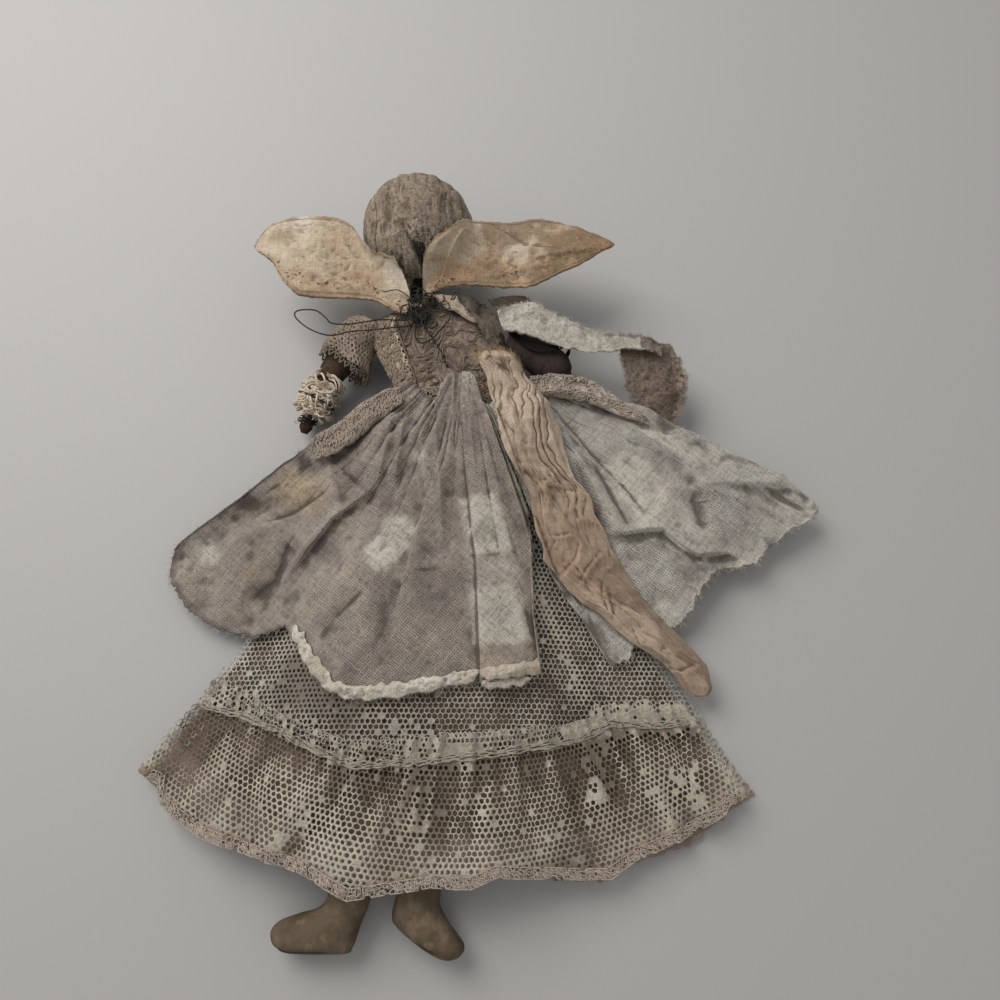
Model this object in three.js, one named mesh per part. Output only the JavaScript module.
// A primitive cloth doll, lying on its front with its back up.
// Millimetres. +X is to the right as seen from above its back, +Y is towards its head and +Z is up.
// The plan positions below are counted from the table point under the doll's waist, and the finished
// doll is moved at the end, so that its origin lies under the middle of the space that it covers.
import * as THREE from 'three';

// Gaps between pieces that touch, and between cloths that lie on each other
const seatGap = 0.3;
const layerGap = 0.4;

// Stuffed body: place along the spine, half width, half depth, middle across, middle above the belly's floor
const torsoStations = [
  [20, 25, 11, -20.5, 11.2],
  [30, 28, 12.5, -20, 12.6],
  [50, 26.5, 12, -20, 12],
  [65, 28.5, 12.5, -22, 12.5],
  [84, 33, 13.8, -27, 13.8],
  [97, 35, 13.5, -31, 14],
  [106, 26, 11, -35.5, 14.7],
  [111, 10, 8, -38.5, 15.5],
];
const torsoSides = 18;
const torsoSquareness = 2.4;
const bodiceThick = 1.2;
const bodiceTopPlace = 106;
const waistbandLow = 46.5;
const waistbandHigh = 57.5;

// Head, cap and neck
const headPlace = new THREE.Vector3(-42, 159.5, 34);
const headRadius = 29.4;
const noseHeight = 2.8;
const noseHalfWidth = 4.5;
const noseHalfLength = 7;
const noseDrop = 3;
const cheekHeight = 0.9;
const cheekAcross = 13;
const cheekDrop = 10;
const cheekRadius = 9;
const capThick = 1.3;
const capFoldHeight = 0.6;
const neckRadius = 5.2;
const neckDepthInHead = 15;
const neckThreadRadius = 1.0;
const neckThreadLoops = 4;
const neckThreadPitch = 3.2;

// Cloth thicknesses
const underClothThick = 0.9;
const liningThick = 0.7;
const netThick = 0.7;
const ruffleThick = 0.9;
const gauzeThick = 0.8;
const stripThick = 0.6;
const ribbonThick = 1.0;
const ribbonLift = 1.5;
const lacePieceThick = 1.0;

// Legs and boots
const thighRadius = 10.5;
const kneeRadius = 8;
const ankleRadius = 6.3;
const hipPlace = 9.2;
const hipSpread = 12;
const bootTopPlace = -160;
const bootHalfDepth = 8.2;

// Sash, rolls and wings
const sashThick = 3.2;
const sashCreaseHeight = 1.6;
const sashNeighbourhood = 6;
const rollHalfWidth = 5.6;
const rollHalfDepth = 2.6;
const rollNeighbourhood = 2.6;
const rollSides = 8;
const wingEdgeThick = 1.4;
const wingMiddleThick = 3.8;
const wingOverCap = 2.3;
const wingTieRadius = 2.3;
const wingTiePlace = new THREE.Vector2(-41, 105);
const wingTieLength = 6.4;
const wingThreadRadius = 0.55;
const wingThreadLoops = 3;
const wingThreadPitch = 1.7;

// Loose black thread
const threadDiameter = 0.8;

// General helpers

/** Reads a short table of [place, value] pairs, straight between its entries. */
function along(table, place) {
  if (place <= table[0][0]) return table[0][1];
  for (let k = 1; k < table.length; k += 1) {
    if (place <= table[k][0]) {
      const share = (place - table[k - 1][0]) / (table[k][0] - table[k - 1][0]);
      return THREE.MathUtils.lerp(table[k - 1][1], table[k][1], share);
    }
  }
  return table[table.length - 1][1];
}

/** One column of the torso's stations as a table for along(). */
function torsoColumn(column) {
  return torsoStations.map((station) => [station[0], station[column]]);
}

/** Makes a closed solid from points and triangles, turned so that its faces point out. */
function solid(points, triangles) {
  const cross = new THREE.Vector3();
  let volume = 0;
  for (const [a, b, c] of triangles) volume += points[a].dot(cross.crossVectors(points[b], points[c]));
  const outward = volume > 0 ? triangles : triangles.map(([a, b, c]) => [a, c, b]);
  const geometry = new THREE.BufferGeometry().setFromPoints(points);
  geometry.setIndex(outward.flat());
  geometry.computeVertexNormals();
  return geometry;
}

/** Cloth as a closed sheet: place(i, j) gives its upper and lower point, isGap(i, j) leaves a net gap. */
function sheet(columns, rows, place, isGap = () => false) {
  const points = [];
  const triangles = [];
  for (let i = 0; i <= columns; i += 1) {
    for (let j = 0; j <= rows; j += 1) points.push(...place(i, j));
  }
  const upper = (i, j) => 2 * (i * (rows + 1) + j);
  const lower = (i, j) => upper(i, j) + 1;
  const filled = (i, j) => i >= 0 && j >= 0 && i < columns && j < rows && !isGap(i, j);
  const quad = (a, b, c, d) => triangles.push([a, b, c], [a, c, d]);
  const wall = (iA, jA, iB, jB) => quad(upper(iA, jA), upper(iB, jB), lower(iB, jB), lower(iA, jA));
  for (let i = 0; i < columns; i += 1) {
    for (let j = 0; j < rows; j += 1) {
      if (!filled(i, j)) continue;
      quad(upper(i, j), upper(i + 1, j), upper(i + 1, j + 1), upper(i, j + 1));
      quad(lower(i, j), lower(i, j + 1), lower(i + 1, j + 1), lower(i + 1, j));
      if (!filled(i - 1, j)) wall(i, j, i, j + 1);
      if (!filled(i + 1, j)) wall(i + 1, j + 1, i + 1, j);
      if (!filled(i, j - 1)) wall(i + 1, j, i, j);
      if (!filled(i, j + 1)) wall(i, j + 1, i + 1, j + 1);
    }
  }
  const used = new Map();
  const kept = [];
  const renumber = (index) => {
    if (!used.has(index)) {
      used.set(index, kept.length);
      kept.push(points[index]);
    }
    return used.get(index);
  };
  return solid(kept, triangles.map((corners) => corners.map(renumber)));
}

/** A closed solid through rings of points, its two ends closed flat. */
function loft(rings) {
  const sides = rings[0].length;
  const points = rings.flat();
  const triangles = [];
  for (let k = 1; k < rings.length; k += 1) {
    for (let s = 0; s < sides; s += 1) {
      const next = (s + 1) % sides;
      const low = (k - 1) * sides;
      const high = k * sides;
      triangles.push([low + s, low + next, high + next], [low + s, high + next, high + s]);
    }
  }
  const last = (rings.length - 1) * sides;
  const middleOf = (ring) => ring.reduce((sum, p) => sum.add(p), new THREE.Vector3()).divideScalar(sides);
  const firstMiddle = points.push(middleOf(rings[0])) - 1;
  const lastMiddle = points.push(middleOf(rings[rings.length - 1])) - 1;
  for (let s = 0; s < sides; s += 1) {
    const next = (s + 1) % sides;
    triangles.push([firstMiddle, next, s], [lastMiddle, last + s, last + next]);
  }
  return solid(points, triangles);
}

/** A wall between outer and inner rings, open at both ends, as a cuff or a bodice. */
function cuff(outer, inner) {
  const sides = outer[0].length;
  const count = outer.length;
  const points = [...outer.flat(), ...inner.flat()];
  const triangles = [];
  const loop = [];
  for (let k = 0; k < count; k += 1) loop.push(k * sides);
  for (let k = count - 1; k >= 0; k -= 1) loop.push((count + k) * sides);
  for (let k = 0; k < loop.length; k += 1) {
    const from = loop[k];
    const to = loop[(k + 1) % loop.length];
    for (let s = 0; s < sides; s += 1) {
      const next = (s + 1) % sides;
      triangles.push([from + s, from + next, to + next], [from + s, to + next, to + s]);
    }
  }
  return solid(points, triangles);
}

/** A ring of points round a centre, square to a direction. grow(angle) scales its radius. */
function ringAt(centre, direction, radius, sides, grow = () => 1, flatness = 1) {
  const ahead = direction.clone().normalize();
  const reference = Math.abs(ahead.z) > 0.9 ? new THREE.Vector3(1, 0, 0) : new THREE.Vector3(0, 0, 1);
  const across = new THREE.Vector3().crossVectors(ahead, reference).normalize();
  const upward = new THREE.Vector3().crossVectors(across, ahead).normalize();
  const ring = [];
  for (let s = 0; s < sides; s += 1) {
    const angle = (2 * Math.PI * s) / sides;
    const reach = radius * grow(angle);
    ring.push(
      centre
        .clone()
        .addScaledVector(across, reach * Math.cos(angle))
        .addScaledVector(upward, reach * flatness * Math.sin(angle)),
    );
  }
  return ring;
}

/** Rings along a limb's stations of [x, y, z, radius, flatness], each square to the limb there. */
function limbRings(stations, sides, extra = 0, grow = () => 1) {
  const centres = stations.map(([x, y, z]) => new THREE.Vector3(x, y, z));
  return stations.map((station, k) => {
    const before = centres[Math.max(k - 1, 0)];
    const after = centres[Math.min(k + 1, centres.length - 1)];
    const direction = after.clone().sub(before);
    return ringAt(centres[k], direction, station[3] + extra, sides, grow, station[4] ?? 1);
  });
}

/** Thread wound round a core as one unbroken tube. Its least gap to itself is measured and printed. */
function winding(name, { centre, axis, coreRadius, wireRadius, loops, pitch, steps = 24, sides = 6 }) {
  const ahead = axis.clone().normalize();
  const start = ringAt(centre, ahead, 1, 4);
  const first = start[0].clone().sub(centre);
  const second = start[1].clone().sub(centre);
  const pathRadius = coreRadius + seatGap + wireRadius;
  const path = [];
  for (let k = 0; k <= loops * steps; k += 1) {
    const turn = (2 * Math.PI * k) / steps;
    const shift = (k / steps - loops / 2) * pitch;
    path.push(
      centre
        .clone()
        .addScaledVector(ahead, shift)
        .addScaledVector(first, pathRadius * Math.cos(turn))
        .addScaledVector(second, pathRadius * Math.sin(turn)),
    );
  }
  const endRun = (from, to) => to.clone().addScaledVector(to.clone().sub(from).normalize(), 2 * wireRadius);
  path.unshift(endRun(path[1], path[0]));
  path.push(endRun(path[path.length - 2], path[path.length - 1]));
  let least = Infinity;
  for (let a = 0; a < path.length; a += 1) {
    for (let b = a + Math.ceil(steps / 3); b < path.length; b += 1) {
      least = Math.min(least, path[a].distanceTo(path[b]) - 2 * wireRadius);
    }
  }
  console.log(`${name}: least gap between its turns ${least.toFixed(2)} mm`);
  const stations = path.map((p) => [p.x, p.y, p.z, wireRadius]);
  return loft(limbRings(stations, sides));
}

/** A loose thread as a thin tube through points chosen by hand. */
function strand(points) {
  const curve = new THREE.CatmullRomCurve3(points.map(([x, y, z]) => new THREE.Vector3(x, y, z)));
  const section = new THREE.Shape();
  const sides = 8;
  for (let s = 0; s < sides; s += 1) {
    const angle = (2 * Math.PI * s) / sides;
    const x = (threadDiameter / 2) * Math.cos(angle);
    const y = (threadDiameter / 2) * Math.sin(angle);
    if (s === 0) section.moveTo(x, y);
    else section.lineTo(x, y);
  }
  section.closePath();
  const steps = Math.ceil(curve.getLength() / (3 * threadDiameter));
  return new THREE.ExtrudeGeometry(section, { steps, extrudePath: curve, bevelEnabled: false });
}

// Heights of the cloths that lie on the table, from the bottom up
const underClothTop = underClothThick;
const frontLiningTop = underClothTop + seatGap + liningThick;

// Body surface, from which the bodice, the waistband and all that lies on them take their places

const bodiceTopLift = seatGap + bodiceThick;
const torsoFloor = frontLiningTop + seatGap + bodiceTopLift;

/** The torso's section at a place along the spine. */
function torsoAt(place) {
  return {
    halfWidth: along(torsoColumn(1), place),
    halfDepth: along(torsoColumn(2), place),
    x: along(torsoColumn(3), place),
    z: torsoFloor + along(torsoColumn(4), place),
  };
}

/** A point on the torso, or lifted off it. Angle 0 points along +X and 90 degrees is the doll's back. */
function torsoPoint(place, angle, lift = 0) {
  const section = torsoAt(place);
  const power = 2 / torsoSquareness;
  const cosine = Math.cos(angle);
  const sine = Math.sin(angle);
  return new THREE.Vector3(
    section.x + (section.halfWidth + lift) * Math.sign(cosine) * Math.abs(cosine) ** power,
    place,
    section.z + (section.halfDepth + lift) * Math.sign(sine) * Math.abs(sine) ** power,
  );
}

function torsoRing(place, lift = 0) {
  const ring = [];
  for (let s = 0; s < torsoSides; s += 1) ring.push(torsoPoint(place, (2 * Math.PI * s) / torsoSides, lift));
  return ring;
}

/** Height of the bodice's back at a plan position. */
function bodiceHeight(x, y) {
  const section = torsoAt(y);
  const share = Math.min(Math.abs(x - section.x) / (section.halfWidth + bodiceTopLift), 1);
  const height = (1 - share ** torsoSquareness) ** (1 / torsoSquareness);
  return section.z + (section.halfDepth + bodiceTopLift) * height;
}

/** A lace patch laid on the bodice: at each place along the spine it reaches from one angle to another. */
function bodicePatch(stations, columns, lift) {
  return sheet(columns, stations.length - 1, (i, j) => {
    const [place, from, to] = stations[j];
    const angle = THREE.MathUtils.degToRad(THREE.MathUtils.lerp(from, to, i / columns));
    const base = bodiceTopLift + lift;
    return [torsoPoint(place, angle, base + lacePieceThick), torsoPoint(place, angle, base)];
  });
}

// Skirt surfaces: every skirt cloth hangs in rays from one fan centre above the waist,
// and each lies on the one below it.

const fanCentre = new THREE.Vector2(-15, 75);
const waistReach = 30;

/** Plan position at an angle in degrees, 0 towards the feet, positive to +X, and a reach from the fan centre. */
function fanPlace(angle, reach) {
  const turn = THREE.MathUtils.degToRad(angle);
  return new THREE.Vector2(fanCentre.x + reach * Math.sin(turn), fanCentre.y - reach * Math.cos(turn));
}

/** Rays from one angle to another, every step degrees on a shared grid, with both ends kept. */
function rays(from, to, step = 2) {
  const angles = [from];
  for (let k = Math.ceil((from + step / 4) / step); k * step < to - step / 4; k += 1) angles.push(k * step);
  angles.push(to);
  return angles;
}

const legFloor = frontLiningTop + seatGap;
const legMiddle = legFloor + thighRadius;
const bootMiddle = legFloor + bootHalfDepth;
const sideLevel = frontLiningTop + seatGap;

// The back of the skirts drapes over hips and legs: its height, middle and spread along the body
const waistHeight = torsoAt(50).z + torsoAt(50).halfDepth + bodiceTopLift + seatGap;
const ridgeHeight = [
  [-178, 2 * bootHalfDepth + legFloor + 1.9],
  [-75, legFloor + kneeRadius * 2 + 3.5],
  [0, legMiddle + thighRadius + 1.5],
  [30, torsoAt(30).z + torsoAt(30).halfDepth + 1],
  [75, waistHeight + 0.6],
];
const ridgeMiddle = [
  [-177, -47],
  [10, -21],
  [50, -20],
  [85, -27],
];
const ridgeSpread = [
  [-178, 85],
  [-75, 68],
  [0, 50],
  [50, 41],
  [75, 41],
];

function ridge(point) {
  const sideways = (point.x - along(ridgeMiddle, point.y)) / along(ridgeSpread, point.y);
  return sideLevel + (along(ridgeHeight, point.y) - sideLevel) * Math.exp(-(sideways ** 4));
}

/** A soft fold wave from 0 to 1 across the rays. */
function wave(angle, period, shift) {
  return 0.5 - 0.5 * Math.cos((2 * Math.PI * (angle - shift)) / period);
}

function liningBottom(angle, reach) {
  return ridge(fanPlace(angle, reach));
}

function netBottom(angle, reach) {
  const fold = 1.3 * (reach / 250) * wave(angle, 8, 1);
  return liningBottom(angle, reach) + liningThick + layerGap + fold;
}

function netTop(angle, reach) {
  return netBottom(angle, reach) + netThick;
}

// The overskirt's stiff gauze stands off the petticoat at its sides
const overskirtLeftLift = [
  [30, 1],
  [60, 9],
  [100, 9],
  [190, 2.5],
];
const overskirtRightLift = [
  [30, 4],
  [48, 15],
  [100, 14],
  [190, 6],
];
const pleatLeftEdge = [
  [18, -6],
  [42, -0.6],
  [78, 2.1],
  [108, 3.5],
  [163, 3.2],
];
const pleatHeight = 3;

function overskirtBottom(angle, reach) {
  const rise = THREE.MathUtils.smoothstep(angle, 22, 50) * along(overskirtRightLift, reach)
    + THREE.MathUtils.smoothstep(-angle, 25, 50) * along(overskirtLeftLift, reach);
  const pleat = angle < 19.5 && angle > along(pleatLeftEdge, reach) ? pleatHeight : 0;
  const foldHeight = 4.2 * THREE.MathUtils.smoothstep(reach, 20, 150);
  const fold = foldHeight * wave(angle, angle < 19.8 ? 10 : 12, angle < 19.8 ? 1 : 20);
  return netTop(angle, reach) + layerGap + rise + pleat + fold;
}

function overskirtTop(angle, reach) {
  return overskirtBottom(angle, reach) + gauzeThick;
}

/** Angle and reach of a plan position, the reverse of fanPlace. */
function fanOf(x, y) {
  const across = x - fanCentre.x;
  const down = fanCentre.y - y;
  return [THREE.MathUtils.radToDeg(Math.atan2(across, down)), Math.hypot(across, down)];
}

/** The overskirt's greatest height round a plan position, for what lies across its folds. */
function overskirtRest(x, y, around) {
  let height = 0;
  for (const stepX of [-1, -0.5, 0, 0.5, 1]) {
    for (const stepY of [-1, -0.5, 0, 0.5, 1]) {
      height = Math.max(height, overskirtTop(...fanOf(x + stepX * around, y + stepY * around)));
    }
  }
  return height;
}

/** A skirt cloth: its rays, its reaches row by row and the height of its lower face. */
function skirtCloth(angles, reachAt, rows, bottomAt, thick) {
  return sheet(angles.length - 1, rows, (i, j) => {
    const angle = angles[i];
    const reach = reachAt(angle, j / rows);
    const place = fanPlace(angle, reach);
    const bottom = bottomAt(angle, reach);
    return [new THREE.Vector3(place.x, place.y, bottom + thick), new THREE.Vector3(place.x, place.y, bottom)];
  });
}

const doll = new THREE.Group();

/** Adds a named piece with its own material. */
function piece(name, geometry, color, roughness = 0.95, parent = doll) {
  const mesh = new THREE.Mesh(geometry, new THREE.MeshStandardMaterial({ color, roughness, metalness: 0 }));
  mesh.name = name;
  parent.add(mesh);
  return mesh;
}

const colours = {
  bodyCloth: 0x9a8468,
  bodice: 0x8d7a68,
  cream: 0xcfbd9f,
  gauze: 0xaaa090,
  net: 0xb3a994,
  lining: 0x8c7359,
  cap: 0x8f8577,
  clay: 0x6e6350,
  brown: 0x4d3a2c,
  black: 0x1b1816,
  white: 0xcbc5b6,
  sash: 0xa88d75,
};

// Torso, bodice and waistband
piece('torso', loft(torsoStations.map(([place]) => torsoRing(place))), colours.bodyCloth);

const bodiceLow = waistbandHigh + seatGap;
const torsoPlaces = torsoStations.map(([place]) => place);
const stationsUnderBodice = torsoPlaces.filter((place) => place > bodiceLow && place < bodiceTopPlace);
const bodicePlaces = [bodiceLow, ...stationsUnderBodice, bodiceTopPlace];
const bodyCuff = (places) => cuff(
  places.map((place) => torsoRing(place, bodiceTopLift)),
  places.map((place) => torsoRing(place, seatGap)),
);
piece('bodice', bodyCuff(bodicePlaces), colours.bodice);
const bandPlaces = [waistbandLow, 50, waistbandHigh];
piece('waistband', bodyCuff(bandPlaces), colours.cream);

// Lace strap down the bodice's side, and the two collar pieces by the neck: [place, from angle, to angle]
const strapStations = [
  [60, 122, 160],
  [65, 122, 162],
  [74, 121, 165],
  [84, 120, 166],
  [97, 119, 160],
  [101, 118, 156],
];
piece('vest_strap', bodicePatch(strapStations, 5, layerGap), colours.cream);
const leafStations = [[84, 42, 50], [90, 28, 68], [97, 18, 72], [101, 24, 66], [104.5, 38, 58]];
piece('collar_leaf', bodicePatch(leafStations, 5, layerGap), colours.cap);
const pointStations = [[88, 59, 63], [92.5, 60, 70], [97, 62, 77], [101, 64, 82], [105, 66, 86]];
piece('collar_point', bodicePatch(pointStations, 3, 2 * layerGap + lacePieceThick), colours.cream);

// Head on its neck post. The group's +Y runs up the neck and its -Z is the face.
const neckPlace = torsoStations[torsoStations.length - 1][0];
const neckFoot = new THREE.Vector3(torsoAt(neckPlace).x, neckPlace + seatGap, torsoAt(neckPlace).z);
const neckDirection = headPlace.clone().sub(neckFoot).normalize();
const headGroup = new THREE.Group();
headGroup.position.copy(headPlace);
headGroup.quaternion.setFromUnitVectors(new THREE.Vector3(0, 1, 0), neckDirection);
doll.add(headGroup);

function headGeometry() {
  const bore = neckRadius + seatGap;
  const mouth = -Math.sqrt(headRadius ** 2 - bore ** 2);
  const boreEnd = mouth + neckDepthInHead;
  const profile = [new THREE.Vector2(0, boreEnd), new THREE.Vector2(bore, boreEnd)];
  const rows = 11;
  const start = Math.asin(bore / headRadius);
  for (let k = 0; k < rows; k += 1) {
    const angle = THREE.MathUtils.lerp(start, Math.PI, k / rows);
    profile.push(new THREE.Vector2(headRadius * Math.sin(angle), -headRadius * Math.cos(angle)));
  }
  profile.push(new THREE.Vector2(0, headRadius));
  const lathe = new THREE.LatheGeometry(profile, 20);
  const position = lathe.getAttribute('position');
  const point = new THREE.Vector3();
  for (let k = 0; k < position.count; k += 1) {
    point.fromBufferAttribute(position, k);
    if (point.length() < headRadius * 0.98) continue;
    const fromNose = Math.hypot(point.x / noseHalfWidth, (point.y + noseDrop) / noseHalfLength);
    const fromCheek = Math.hypot(Math.abs(point.x) - cheekAcross, point.y + cheekDrop) / cheekRadius;
    const swell = noseHeight * Math.exp(-(fromNose ** 2)) + cheekHeight * Math.exp(-(fromCheek ** 2));
    if (point.z < 0) point.z -= swell;
    position.setXYZ(k, point.x, point.y, point.z);
  }
  return lathe;
}
piece('head', headGeometry(), 0xb7a68c, 0.9, headGroup);

const capSegments = 24;
const capRows = 6;
const capReach = 112;
const capRowStep = THREE.MathUtils.degToRad(capReach / capRows);
const capFacetShrink = Math.cos(Math.PI / capSegments) * Math.cos(capRowStep / 2);
const capInner = (headRadius + seatGap) / capFacetShrink;
const capOuter = capInner + capThick + capFoldHeight;

/** The cap leaves the face and the neck free: how far it comes round from the back of the head. */
function capEdge(turn) {
  const towardsNeck = Math.max(0, -Math.sin(turn)) ** 3;
  return THREE.MathUtils.degToRad(THREE.MathUtils.lerp(capReach, 68, towardsNeck));
}

function capGeometry() {
  const points = [];
  const triangles = [];
  const shell = (row, segment, outside) => {
    const turn = (2 * Math.PI * segment) / capSegments;
    const tilt = capEdge(turn) * (row / capRows);
    const fold = capFoldHeight * (row / capRows) * (segment % 3 === 0 ? 1 : 0);
    const radius = outside ? capInner + capThick + fold : capInner;
    return new THREE.Vector3(
      radius * Math.sin(tilt) * Math.cos(turn),
      radius * Math.sin(tilt) * Math.sin(turn),
      radius * Math.cos(tilt),
    );
  };
  const index = (row, segment, outside) => {
    const place = (row - 1) * capSegments + (segment % capSegments);
    return 2 + 2 * place + (outside ? 0 : 1);
  };
  points.push(shell(0, 0, true), shell(0, 0, false));
  for (let row = 1; row <= capRows; row += 1) {
    for (let segment = 0; segment < capSegments; segment += 1) {
      points.push(shell(row, segment, true), shell(row, segment, false));
    }
  }
  for (let segment = 0; segment < capSegments; segment += 1) {
    const next = segment + 1;
    triangles.push([0, index(1, segment, true), index(1, next, true)]);
    triangles.push([1, index(1, next, false), index(1, segment, false)]);
    for (let row = 1; row < capRows; row += 1) {
      const outer = [index(row, segment, true), index(row, next, true)];
      const outerBelow = [index(row + 1, segment, true), index(row + 1, next, true)];
      const inner = [index(row, segment, false), index(row, next, false)];
      const innerBelow = [index(row + 1, segment, false), index(row + 1, next, false)];
      triangles.push([outer[0], outerBelow[0], outerBelow[1]], [outer[0], outerBelow[1], outer[1]]);
      triangles.push([inner[0], innerBelow[1], innerBelow[0]], [inner[0], inner[1], innerBelow[1]]);
    }
    const rim = [index(capRows, segment, true), index(capRows, next, true)];
    const rimInside = [index(capRows, segment, false), index(capRows, next, false)];
    triangles.push([rim[0], rimInside[0], rimInside[1]], [rim[0], rimInside[1], rim[1]]);
  }
  return solid(points, triangles);
}
piece('cap', capGeometry(), colours.cap, 0.95, headGroup);

const neckEndGap = 1.6;
const neckEndReach = headRadius - neckDepthInHead + neckEndGap;
const neckEnd = headPlace.clone().addScaledVector(neckDirection, -neckEndReach);
const neckSides = 16;
const neckRing = (centre) => {
  const ring = [];
  for (let s = 0; s < neckSides; s += 1) {
    const angle = (2 * Math.PI * s) / neckSides;
    const across = neckRadius * Math.cos(angle);
    const up = neckRadius * Math.sin(angle);
    ring.push(new THREE.Vector3(centre.x + across, centre.y, centre.z + up));
  }
  return ring;
};
piece('neck_post', loft([neckRing(neckFoot), neckRing(neckEnd)]), colours.brown);
const neckThreadMiddle = (neckThreadLoops * neckThreadPitch) / 2 + 3.4;
const neckThreadPlace = neckFoot.clone().addScaledVector(neckDirection, neckThreadMiddle);
piece(
  'neck_thread',
  winding('neck_thread', {
    centre: neckThreadPlace,
    axis: neckDirection,
    coreRadius: neckRadius,
    wireRadius: neckThreadRadius,
    loops: neckThreadLoops,
    pitch: neckThreadPitch,
  }),
  colours.black,
);

// Wings: two cloth pads tied together between the shoulders
const wingThreadOuter = wingTieRadius + seatGap + 2 * wingThreadRadius;
const wingTieHeight = bodiceHeight(wingTiePlace.x, wingTiePlace.y - 1.5) + seatGap + wingThreadOuter;
const wingTieCentre = new THREE.Vector3(wingTiePlace.x, wingTiePlace.y, wingTieHeight);
const wingTieEnds = [wingTiePlace.x - wingTieLength / 2, wingTiePlace.x + wingTieLength / 2];
const acrossDoll = new THREE.Vector3(1, 0, 0);
const wingTieSides = 10;
const wingTieRings = wingTieEnds.map((x) => {
  return ringAt(wingTieCentre.clone().setX(x), acrossDoll, wingTieRadius, wingTieSides);
});
piece('wing_tie', loft(wingTieRings), colours.cream);
piece(
  'wing_thread',
  winding('wing_thread', {
    centre: wingTieCentre,
    axis: acrossDoll,
    coreRadius: wingTieRadius,
    wireRadius: wingThreadRadius,
    loops: wingThreadLoops,
    pitch: wingThreadPitch,
    steps: 20,
    sides: 5,
  }),
  colours.black,
);

/** Height at which cloth clears the cap. */
function overCap(x, y) {
  const radius = capOuter + wingOverCap;
  const away = Math.hypot(x - headPlace.x, y - headPlace.y);
  return away < radius ? headPlace.z + Math.sqrt(radius ** 2 - away ** 2) : 0;
}

/** A wing between its upper and lower edge, both listed from the tie to the tip. */
function wing(upperEdge, lowerEdge, tipHeight) {
  const columns = upperEdge.length - 1;
  const rows = 5;
  const span = Math.abs(upperEdge[columns][0] - upperEdge[0][0]);
  return sheet(columns, rows, (i, j) => {
    const share = j / rows;
    const x = THREE.MathUtils.lerp(upperEdge[i][0], lowerEdge[i][0], share);
    const y = THREE.MathUtils.lerp(upperEdge[i][1], lowerEdge[i][1], share);
    const out = Math.abs(x - upperEdge[0][0]) / span;
    const fullness = Math.sin(Math.PI * share) * Math.min(1, 3 * out, 6 * (1 - i / columns));
    const half = THREE.MathUtils.lerp(wingEdgeThick, wingMiddleThick, Math.max(fullness, 0)) / 2;
    const rest = THREE.MathUtils.lerp(wingTieHeight, tipHeight, out);
    const middle = Math.max(rest, overCap(x, y) + half);
    return [new THREE.Vector3(x, y, middle + half), new THREE.Vector3(x, y, middle - half)];
  });
}
const wingRootLeft = wingTieEnds[0] - seatGap;
const wingRootRight = wingTieEnds[1] + seatGap;
const wingLeftUpper = [
  [wingRootLeft, 112.5], [-50, 124.5], [-65.6, 132.2], [-75.5, 146.6], [-84.5, 153.5],
  [-98.8, 159.3], [-114.3, 156.6], [-126.1, 148.9], [-129.6, 140.5],
];
const wingLeftLower = [
  [wingRootLeft, 101.6], [-48.5, 98.5], [-53.5, 101], [-61, 105.2], [-76.8, 107.5],
  [-101.2, 109.6], [-109.2, 116.8], [-116.7, 124.9], [-127.5, 136],
];
piece('wing_left', wing(wingLeftUpper, wingLeftLower, wingTieHeight + 4), colours.cream);
const wingRightUpper = [
  [wingRootRight, 112], [-35.5, 120.6], [-34.3, 133.8], [-26.7, 144.3], [-16.5, 149.7],
  [-4, 151.6], [24.9, 154.6], [44.6, 149.8], [64.4, 140.6],
];
const wingRightLower = [
  [wingRootRight, 102.5], [-32, 106.4], [-26, 109.4], [-20, 111.3], [-11, 111],
  [-1.2, 110.6], [20, 112.5], [40, 122.5], [62.5, 137.5],
];
piece('wing_right', wing(wingRightUpper, wingRightLower, wingTieHeight + 7), colours.cream);

// Left arm with its lace cuff, wool tuft, tie and wire
const leftArmStations = [
  [-72.2, 99.3, 19.5, 2],
  [-72.6, 98.4, 19.5, 5.6],
  [-73.7, 95.5, 19.5, 7.6],
  [-82, 84, 18.2, 8],
  [-89.2, 72, 16, 7.4],
  [-95, 61, 13.5, 6.2],
  [-98.2, 54, 11.6, 4.6],
  [-99.8, 50, 10.2, 3.4],
  [-101, 46.5, 9.2, 3.6],
  [-101.8, 43.6, 8.4, 1.8],
];
piece('left_arm', loft(limbRings(leftArmStations, 12)), colours.brown, 0.85);
const scallop = (angle) => 1 + 0.05 * Math.cos(6 * angle);
const sleeveThick = 1.3;
const sleeveStations = [
  [-77.1, 91.2, 19, 8.7, 1],
  [-81.1, 85.3, 18.4, 11.4, 0.88],
  [-85.2, 78.6, 18.2, 15.4, 0.78],
];
const sleeveOuter = sleeveStations.map(([x, y, z, radius, flatness]) => {
  return [x, y, z, radius + sleeveThick, flatness];
});
piece(
  'sleeve_left',
  cuff(limbRings(sleeveOuter, 20, 0, scallop), limbRings(sleeveStations, 20, 0, scallop)),
  colours.cream,
);
const tuftStations = [
  [-91, 68.8, 15.3, 7.05],
  [-93.2, 64.4, 14.4, 6.6],
  [-95, 61, 13.5, 6.2],
  [-96.6, 57.5, 12.6, 5.4],
  [-98.2, 54, 11.6, 4.6],
];
const tuftSwell = [1.2, 3.4, 1.6, 4.2, 2.2];
const lumps = (angle) => 1 + 0.12 * Math.cos(5 * angle + 1);
const tuftOuter = tuftStations.map(([x, y, z, radius], k) => [x, y, z, radius + seatGap + tuftSwell[k]]);
piece(
  'wool_tuft',
  cuff(limbRings(tuftOuter, 14, 0, lumps), limbRings(tuftStations, 14, seatGap + 0.25)),
  colours.cream,
);
const forearmAxis = new THREE.Vector3(-3.2, -7, -1.9);
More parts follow.
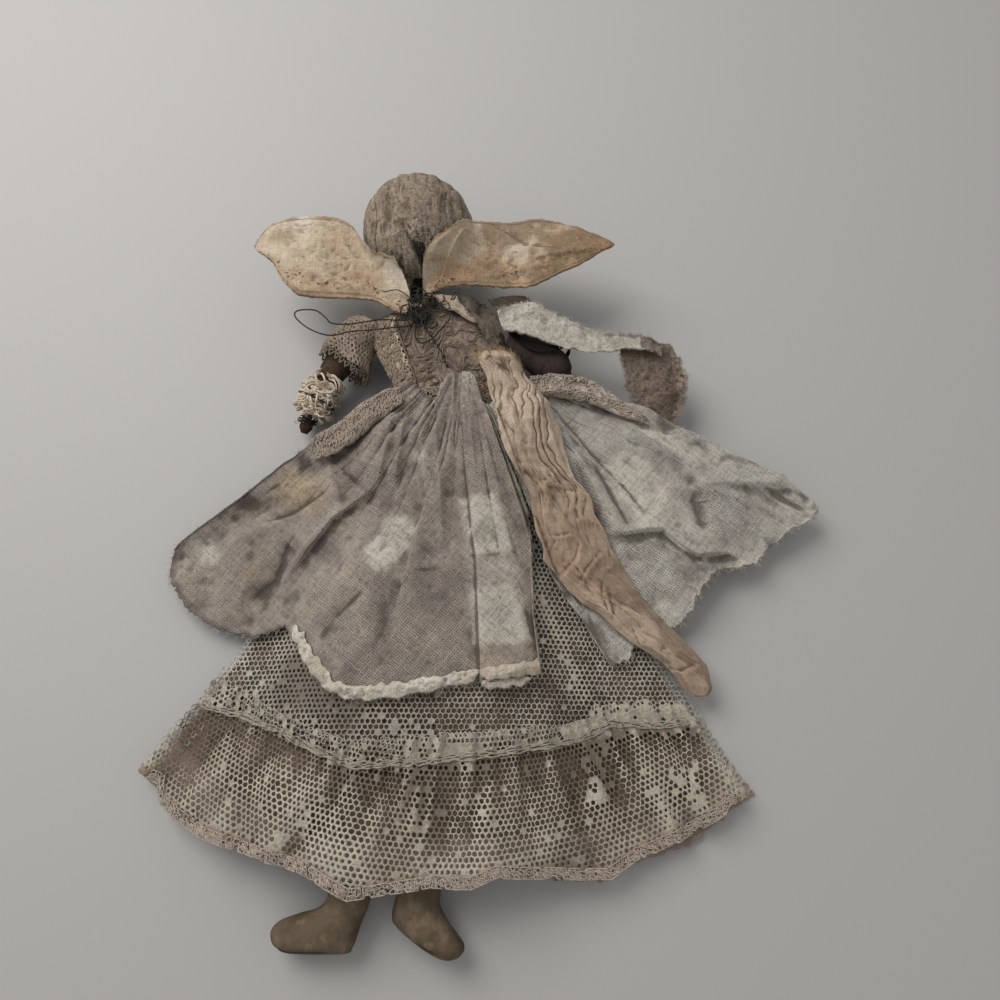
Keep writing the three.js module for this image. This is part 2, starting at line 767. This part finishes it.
piece(
  'tuft_tie',
  winding('tuft_tie', {
    centre: new THREE.Vector3(-95, 61, 13.5),
    axis: forearmAxis,
    coreRadius: 9.2,
    wireRadius: 0.5,
    loops: 1,
    pitch: 1.6,
    steps: 20,
    sides: 5,
  }),
  colours.black,
);
piece(
  'wire_coil',
  winding('wire_coil', {
    centre: new THREE.Vector3(-99.8, 50, 10.2),
    axis: new THREE.Vector3(-1.4, -3.75, -1.2),
    coreRadius: 3.75,
    wireRadius: 0.5,
    loops: 2,
    pitch: 1.6,
    steps: 16,
    sides: 5,
  }),
  colours.black,
  0.5,
);

// Right arm, bent so that its forearm lies under the skirt's edge, with a black binding
const rightArmStations = [
  [7.2, 93.6, 19, 2],
  [8.2, 93.4, 19, 5.4],
  [11.2, 92.6, 19, 7],
  [22, 88, 19, 7],
  [30, 84, 18.4, 6.8],
  [35, 80.3, 17.2, 6.4],
  [37.4, 75.8, 15.8, 6],
  [37, 70.8, 13.8, 5.6],
  [34.6, 65.6, 11.6, 5.2],
  [31.2, 60.2, 9.6, 4.7],
  [28, 54.8, 8, 3.8],
  [25.8, 50.5, 7.2, 3.5],
  [24.8, 48, 6.9, 1.7],
];
piece('right_arm', loft(limbRings(rightArmStations, 12)), 0x6b5648, 0.9);
piece(
  'arm_binding',
  winding('arm_binding', {
    centre: new THREE.Vector3(22, 88, 19),
    axis: new THREE.Vector3(18, -8.4, -0.6),
    coreRadius: 7.05,
    wireRadius: 0.6,
    loops: 1,
    pitch: 3,
    steps: 20,
    sides: 5,
  }),
  colours.black,
);

// Legs and clay boots
const bootShaft = { left: [-71, -51.5], right: [-41.5, -22.5] };

/** A stuffed leg from its rounded hip to the boot's top. */
function leg(hipX, ankleX) {
  const hip = new THREE.Vector3(hipX, hipPlace, legMiddle);
  const ankle = new THREE.Vector3(ankleX, bootTopPlace + seatGap, bootMiddle);
  const down = ankle.clone().sub(hip).normalize();
  const station = (point, radius) => [point.x, point.y, point.z, radius];
  const stations = [0.985, 0.8, 0.45].map((back) => {
    const point = hip.clone().addScaledVector(down, -thighRadius * back);
    return station(point, thighRadius * Math.sqrt(1 - back ** 2));
  });
  stations.push(station(hip, thighRadius));
  stations.push(station(hip.clone().lerp(ankle, 0.25), (thighRadius + kneeRadius) / 2 + 0.3));
  stations.push(station(hip.clone().lerp(ankle, 0.5), kneeRadius));
  stations.push(station(hip.clone().lerp(ankle, 0.75), (kneeRadius + ankleRadius) / 2));
  const rings = limbRings(stations, 12);
  rings.push(ringAt(ankle, new THREE.Vector3(0, -1, 0), ankleRadius, 12));
  return loft(rings);
}
const middleOf = ([low, high]) => (low + high) / 2;
const bodyMiddle = along(ridgeMiddle, 10);
piece('left_leg', leg(bodyMiddle - hipSpread, middleOf(bootShaft.left)), colours.bodyCloth);
piece('right_leg', leg(bodyMiddle + hipSpread, middleOf(bootShaft.right)), colours.bodyCloth);

/** A boot lying on its side: its side outline, drawn in towards both cheeks. */
function boot(outline) {
  const levels = [-1, -0.72, 0, 0.72, 1];
  const drawIn = [3.6, 1.1, 0, 1.1, 3.6];
  const centre = new THREE.Vector2();
  for (const [x, y] of outline) centre.add(new THREE.Vector2(x, y).divideScalar(outline.length));
  return loft(levels.map((level, k) => outline.map(([x, y]) => {
    const scale = 1 - drawIn[k] / Math.hypot(x - centre.x, y - centre.y);
    const onTopEdge = y === bootTopPlace;
    return new THREE.Vector3(
      centre.x + (x - centre.x) * scale,
      onTopEdge ? y : centre.y + (y - centre.y) * scale,
      bootMiddle + bootHalfDepth * level,
    );
  })));
}
const leftBootOutline = [
  [bootShaft.left[0], bootTopPlace], [-71, -177], [-75, -182.4], [-82.5, -184.6], [-90.6, -187.3],
  [-94, -190.5],
  [-94, -194.2], [-91.5, -197.4], [-85, -199.8], [-63, -200], [-59, -197.5], [-56.5, -190], [-52.2, -177],
  [bootShaft.left[1], bootTopPlace],
];
const rightBootOutline = [
  [bootShaft.right[0], bootTopPlace], [-40.8, -174], [-43, -185], [-40.3, -190.3], [-28.3, -198.8],
  [-19.7, -202.3],
  [-13.6, -201], [-11.8, -196.5], [-17.9, -189], [-22.4, -181.5], [-22.2, -174],
  [bootShaft.right[1], bootTopPlace],
];
piece('left_boot', boot(leftBootOutline), colours.clay, 0.8);
piece('right_boot', boot(rightBootOutline), colours.clay, 0.8);

// Outlines of the skirts: [angle, reach] of each edge
const hemReach = [
  [-36.3, 250.5], [-33.6, 249], [-32, 255], [-27, 255.5], [-20, 251], [-15, 250], [-10, 255.7], [-6.6, 251.6],
  [-2.4, 247.2], [1.5, 248], [4, 244], [9.6, 248.5], [15.2, 254.8], [18.2, 250.7], [22.9, 254.5], [28.4, 259],
  [29.4, 247.6], [31.6, 253.4],
];
const liningHemReach = [[-36, 241], [-27, 250], [-12, 250], [0, 243], [10, 244], [20, 249], [33, 247]];
const ruffleTopReach = [
  [-36.7, 196.7], [-28, 192.3], [-14, 193.3], [-7, 187.3], [2.4, 183.4], [10, 184], [17.5, 187.5],
  [20.2, 182.5],
  [26.7, 189.6], [33, 201.7],
];
const headingReach = [
  [-34.6, 210.7], [-30, 205], [-23.4, 202], [-13, 205], [-6.6, 200], [1, 196], [9.2, 195], [16, 196.3],
  [21.2, 194.5],
  [31.3, 211],
];
const overskirtLeftHem = [
  [-62, 98], [-61, 101], [-59, 121], [-57.5, 150], [-56.5, 174], [-53, 184], [-48, 186], [-43, 184],
  [-36, 174],
  [-32, 161], [-27.5, 166], [-19, 179], [-15.5, 178], [-4, 168], [3, 163], [13.2, 163], [14.4, 139],
  [16.4, 117],
  [18, 100], [19.4, 86],
];
const overskirtRightHem = [
  [20.2, 114], [22, 127], [24, 145], [25, 170], [28, 172], [30.4, 166], [37.5, 172], [41.5, 170],
  [44.5, 165.5],
  [49, 166.5], [54, 179], [57.5, 181], [62, 187], [65, 195], [67, 196], [68.2, 190], [70, 172], [71.4, 148],
  [73.6, 119], [76.3, 97], [77, 64], [78, 44],
];

// Front cloths, which lie flat on the table
const frontAngles = rays(-37, 33, 4);
const seamReach = (angle) => along(headingReach, angle);
const flatCloth = (innerReach, outerReach, rows, bottom, thick) => {
  const reachAt = (angle, share) => THREE.MathUtils.lerp(innerReach(angle), outerReach(angle), share);
  return skirtCloth(frontAngles, reachAt, rows, () => bottom, thick);
};
const atWaist = () => waistReach;
const atHem = (angle) => along(hemReach, angle);
const frontLiningHem = (angle) => along(liningHemReach, angle) - 4;
const petticoatFront = flatCloth(atWaist, (angle) => seamReach(angle) - seatGap, 3, 0, underClothThick);
piece('petticoat_front', petticoatFront, colours.net);
piece('ruffle_front', flatCloth(seamReach, atHem, 1, 0, underClothThick), colours.net);
const frontLining = flatCloth(atWaist, frontLiningHem, 2, underClothTop + seatGap, liningThick);
piece('lining_front', frontLining, colours.lining);

// Back cloths, from the legs up, both bent over the hips, thighs and knees at the same reaches
const bendReaches = [waistReach, 45, 75, 112, 150];
const seamAllowance = 5;
const backReach = (angle, row) => bendReaches[row] ?? seamReach(angle) + seamAllowance;
piece(
  'lining_back',
  skirtCloth(
    rays(-36, 32.5),
    (angle, share) => (share === 1 ? along(liningHemReach, angle) : backReach(angle, Math.round(share * 6))),
    6,
    liningBottom,
    liningThick,
  ),
  colours.lining,
);
piece(
  'petticoat_back',
  skirtCloth(
    rays(-37, 33.5),
    (angle, share) => backReach(angle, Math.round(share * 5)),
    5,
    netBottom,
    netThick,
  ),
  colours.net,
);

// Gathered net ruffle: folds run from the stitched heading to the hem, with net gaps on their slopes
const gatherPeriod = 4;
const ruffleFoldHeight = 3.6;
const ruffleRows = [0, 0.26, 0.46, 0.76, 1];
const ruffleGapRow = 2;
const ruffleAngles = [-36.5];
for (let angle = -36; angle < 32; angle += 2) ruffleAngles.push(angle, angle + 0.6);
ruffleAngles.push(31.8);

function ruffleReach(angle, row) {
  if (row === 0) return along(ruffleTopReach, angle);
  const heading = along(headingReach, angle);
  const hem = along(hemReach, angle);
  return THREE.MathUtils.lerp(heading, hem, (ruffleRows[row] - ruffleRows[1]) / (1 - ruffleRows[1]));
}

function ruffleBottom(angle, row, reach) {
  const gathered = [0.55, 0.1, 0.5, 0.85, 1][row];
  const gather = 1 + 0.25 * Math.sin(2.4 * Math.round(angle / gatherPeriod));
  const crest = Math.abs(((angle + 36.3) % gatherPeriod) - 0.3) < 0.8 ? 1 : 0;
  const rawEdgeLift = row === 0 ? 0.8 : 0;
  return netTop(angle, reach) + layerGap + rawEdgeLift + ruffleFoldHeight * gathered * gather * crest;
}
piece(
  'ruffle_back',
  sheet(
    ruffleAngles.length - 1,
    ruffleRows.length - 1,
    (i, j) => {
      const angle = ruffleAngles[i];
      const reach = ruffleReach(angle, j);
      const place = fanPlace(angle, reach);
      const bottom = ruffleBottom(angle, j, reach);
      const lower = new THREE.Vector3(place.x, place.y, bottom);
      return [lower.clone().setZ(bottom + ruffleThick), lower];
    },
    (i, j) => j === ruffleGapRow && i % 2 === 0 && i > 1 && i < ruffleAngles.length - 2,
  ),
  colours.net,
);

// Gauze overskirt in two panels with the frayed strip along its hem
const overskirtLeftAngles = rays(-62, 19.4);
const overskirtRightAngles = rays(20.2, 78);
const overskirtReach = (hem) => (angle, share) => {
  const even = THREE.MathUtils.lerp(waistReach, along(hem, angle), share);
  return share === 1 ? even : Math.min(even, bendReaches[Math.round(share * 5)]);
};
piece(
  'overskirt_left',
  skirtCloth(overskirtLeftAngles, overskirtReach(overskirtLeftHem), 5, overskirtBottom, gauzeThick),
  colours.gauze,
);
piece(
  'overskirt_right',
  skirtCloth(overskirtRightAngles, overskirtReach(overskirtRightHem), 5, overskirtBottom, gauzeThick),
  colours.gauze,
);
const stripWidth = 8;
piece(
  'hem_strip',
  skirtCloth(
    rays(-30, 13),
    (angle, share) => along(overskirtLeftHem, angle) - stripWidth * (1 - share),
    1,
    (angle, reach) => overskirtTop(angle, reach) + layerGap,
    stripThick,
  ),
  colours.white,
);

// Rolled peplum ends on both sides of the waist
function roll(route) {
  const rings = route.map(([x, y, width], k) => {
    const before = route[Math.max(k - 1, 0)];
    const after = route[Math.min(k + 1, route.length - 1)];
    const direction = new THREE.Vector3(after[0] - before[0], after[1] - before[1], 0);
    const rest = overskirtRest(x, y, rollNeighbourhood) + layerGap;
    const height = rest + rollHalfDepth * (0.4 + 0.6 * width);
    const twist = (angle) => 1 + 0.1 * Math.cos(3 * angle + k);
    const centre = new THREE.Vector3(x, y, height);
    return ringAt(centre, direction, width * rollHalfWidth, rollSides, twist, rollHalfDepth / rollHalfWidth);
  });
  return loft(rings);
}
const leftRollRoute = [
  [-46, 49, 0.6],
  [-53, 47.5, 0.9],
  [-61, 45, 1],
  [-70, 40.5, 1],
  [-79, 35.5, 1],
  [-88, 30.5, 0.9],
  [-94, 27.5, 0.55],
];
const rightRollRoute = [
  [30, 61, 0.5],
  [37, 62, 0.75],
  [46, 60, 0.8],
  [55, 56, 0.8],
  [63, 50.5, 0.7],
  [70, 45.5, 0.6],
  [76, 41, 0.4],
];
piece('peplum_left', roll(leftRollRoute), colours.cream);
piece('peplum_right', roll(rightRollRoute), colours.cream);

// Crumpled sash down the right side: its two edges, listed from the waist to its end
const sashLeftEdge = [
  [-7.9, 73], [-4, 58], [0.5, 46], [3, 34], [6, 21], [17, 3], [21.5, -17], [25, -32], [37, -45],
  [52, -56], [67, -69],
  [81, -81], [90.5, -92],
];
const sashRightEdge = [
  [10, 76], [18, 66], [27, 52], [34, 36], [38.5, 16], [47, 2], [56, -18], [64, -32], [71, -46],
  [82, -58], [91, -68],
  [99, -79], [101.5, -91],
];
const sashRows = 6;
piece(
  'sash',
  sheet(sashLeftEdge.length - 1, sashRows, (i, j) => {
    const share = j / sashRows;
    const x = THREE.MathUtils.lerp(sashLeftEdge[i][0], sashRightEdge[i][0], share);
    const y = THREE.MathUtils.lerp(sashLeftEdge[i][1], sashRightEdge[i][1], share);
    const rest = overskirtRest(x, y, sashNeighbourhood) + layerGap;
    const crease = sashCreaseHeight * (j % 2) * (0.7 + 0.3 * Math.sin(2 * i));
    const edge = j === 0 || j === sashRows ? 0.45 : 1;
    return [new THREE.Vector3(x, y, rest + sashThick * edge + crease), new THREE.Vector3(x, y, rest)];
  }),
  colours.sash,
);

// Ribbon from the shoulder, standing off the table, and its brown folded tail
const ribbonRootUpper = new THREE.Vector2(-6, 101);
const ribbonRootLower = new THREE.Vector2(-2, 93);
const onLeaf = (point) => bodiceHeight(point.x, point.y) + layerGap + lacePieceThick + ribbonLift;
const ribbonUpper = [
  [ribbonRootUpper.x, ribbonRootUpper.y, onLeaf(ribbonRootUpper)], [5.1, 103.5, 32], [19.6, 108.8, 32.4],
  [31.3, 102.1, 31.8], [44, 96, 31], [58, 91, 30], [70, 89, 29], [82, 87, 28], [93, 84, 27.4],
];
const ribbonLower = [
  [ribbonRootLower.x, ribbonRootLower.y, onLeaf(ribbonRootLower)], [8.8, 90.5, 32], [21, 87, 32.2],
  [33, 83.5, 31.4], [44, 80.4, 31.4], [58, 79.4, 29.6], [70, 79, 29.4], [82, 76, 28.4], [92, 72, 27.4],
];

function ribbonSheet(upperEdge, lowerEdge, rows) {
  return sheet(upperEdge.length - 1, rows, (i, j) => {
    const point = new THREE.Vector3(...upperEdge[i]).lerp(new THREE.Vector3(...lowerEdge[i]), j / rows);
    return [point.clone().setZ(point.z + ribbonThick), point];
  });
}
piece('shoulder_ribbon', ribbonSheet(ribbonUpper, ribbonLower, 2), colours.white);
const tailDrop = ribbonThick + seatGap;
const tailLeft = [
  [70.5, 86, 28.4 - tailDrop], [70.8, 76, 27.8 - tailDrop], [71.5, 64, 21], [76, 54, 17.5],
  [88, 43, 13.5],
];
const tailRight = [
  [92, 81, 27 - tailDrop], [100, 72, 25.4 - tailDrop], [101.5, 62, 21], [98, 52, 17], [94.5, 44, 13],
];
piece('ribbon_tail', ribbonSheet(tailLeft, tailRight, 3), 0x8a765e);

// Loose black threads from the tie between the wings
piece(
  'thread_loop_left',
  strand([
    [-42.8, 100.6, 33.9], [-43.5, 94, 34.6], [-52, 92.4, 35.2], [-64, 90.6, 35.5], [-75, 89.6, 35.6],
    [-85.4, 87, 36],
    [-96, 90.4, 36.5], [-104, 97.2, 37], [-103.4, 101.4, 37], [-94.5, 101.9, 36.8], [-88.8, 97.8, 36.6],
    [-84.8, 94, 36.6], [-75.2, 93.4, 36.8], [-60, 96, 36.8], [-50, 95.9, 36.6], [-44.5, 96.4, 36.4],
    [-41.4, 100.6, 36],
  ]),
  colours.black,
  0.6,
);
piece(
  'thread_loop_centre',
  strand([
    [-38.9, 100.7, 35.9], [-32, 101.2, 36.8], [-24.5, 100, 37.2], [-22.8, 97, 37], [-27, 91, 36.5],
    [-32.5, 84.8, 35.5],
    [-37.8, 83, 35], [-40.8, 86.6, 35], [-40.9, 92, 35.2], [-40.3, 96.5, 35.2], [-40, 100.5, 35],
  ]),
  colours.black,
  0.6,
);
const threadTailRoute = [[-38.4, 100.6, 33.4], [-36, 93, 33.7], [-28, 80.5, 33.3], [-24.3, 71, 31.7]];
piece('thread_tail', strand(threadTailRoute), colours.black, 0.6);

// The origin lies under the middle of what the doll covers, its loose threads left out
const covered = new THREE.Box3();
doll.updateMatrixWorld(true);
doll.traverse((part) => {
  if (part.isMesh && !part.name.startsWith('thread_')) covered.expandByObject(part, true);
});
const middle = covered.getCenter(new THREE.Vector3());
doll.position.set(-middle.x, -middle.y, 0);

export default doll;
